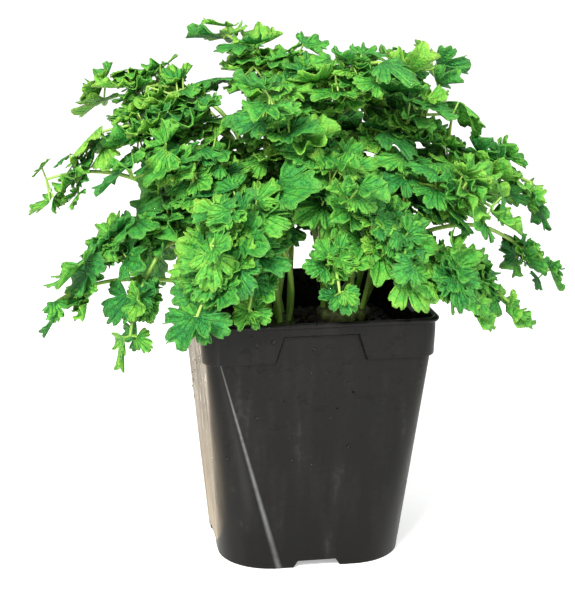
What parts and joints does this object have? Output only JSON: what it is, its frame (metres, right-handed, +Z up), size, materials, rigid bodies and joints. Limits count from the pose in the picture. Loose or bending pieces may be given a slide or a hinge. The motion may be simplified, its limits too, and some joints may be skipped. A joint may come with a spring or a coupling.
{
  "type": "potted parsley",
  "caption": "Bushy curly-leaved herb in a tapered square plastic nursery pot: arching stalks rise from crowns in the soil and carry sprays of lobed leaflets.",
  "frame": {"origin": "on the ground under the middle of the pot, which is also under the middle of the whole plant's bounding box", "axes": "+Z up; -Y is the pot's front face; +X to the right as seen from the front, along the plant's widest spread"},
  "size_m": [0.2389, 0.1557, 0.2217],
  "materials": {
    "black_plastic": "smooth black polypropylene with a soft sheen",
    "peat": "damp dark crumbly potting soil",
    "crown_rind": "pale green, matt plant tissue",
    "stalk_green": "smooth yellow-green stalk with a soft sheen",
    "leaf_green": "thin fresh green leaf with a slight gloss"
  },
  "bodies": {
    "root": {"pot": "black_plastic", "soil": "peat", "crown_left": "crown_rind", "crown_right": "crown_rind", "stalk_01": "stalk_green", "stalk_02": "stalk_green", "stalk_03": "stalk_green", "stalk_04": "stalk_green", "stalk_05": "stalk_green", "stalk_06": "stalk_green", "stalk_07": "stalk_green", "stalk_08": "stalk_green", "stalk_09": "stalk_green", "stalk_10": "stalk_green", "stalk_11": "stalk_green", "stalk_12": "stalk_green", "stalk_13": "stalk_green", "stalk_14": "stalk_green", "stalk_15": "stalk_green", "stalk_16": "stalk_green", "stalk_17": "stalk_green", "stalk_18": "stalk_green", "stalk_19": "stalk_green", "stalk_20": "stalk_green", "stalk_21": "stalk_green", "stalk_22": "stalk_green", "stalk_23": "stalk_green", "stalk_24": "stalk_green", "stalk_25": "stalk_green", "stalk_26": "stalk_green", "stalk_27": "stalk_green", "stalk_28": "stalk_green", "leaf_01": "leaf_green", "leaf_02": "leaf_green", "leaf_03": "leaf_green", "leaf_04": "leaf_green", "leaf_05": "leaf_green", "leaf_06": "leaf_green", "leaf_07": "leaf_green", "leaf_08": "leaf_green", "leaf_09": "leaf_green", "leaf_10": "leaf_green", "leaf_11": "leaf_green", "leaf_12": "leaf_green", "leaf_13": "leaf_green", "leaf_14": "leaf_green", "leaf_15": "leaf_green", "leaf_16": "leaf_green", "leaf_17": "leaf_green", "leaf_18": "leaf_green", "leaf_19": "leaf_green", "leaf_20": "leaf_green", "leaf_21": "leaf_green", "leaf_22": "leaf_green", "leaf_23": "leaf_green", "leaf_24": "leaf_green", "leaf_25": "leaf_green", "leaf_26": "leaf_green", "leaf_27": "leaf_green", "leaf_28": "leaf_green"}
  },
  "joints": []
}
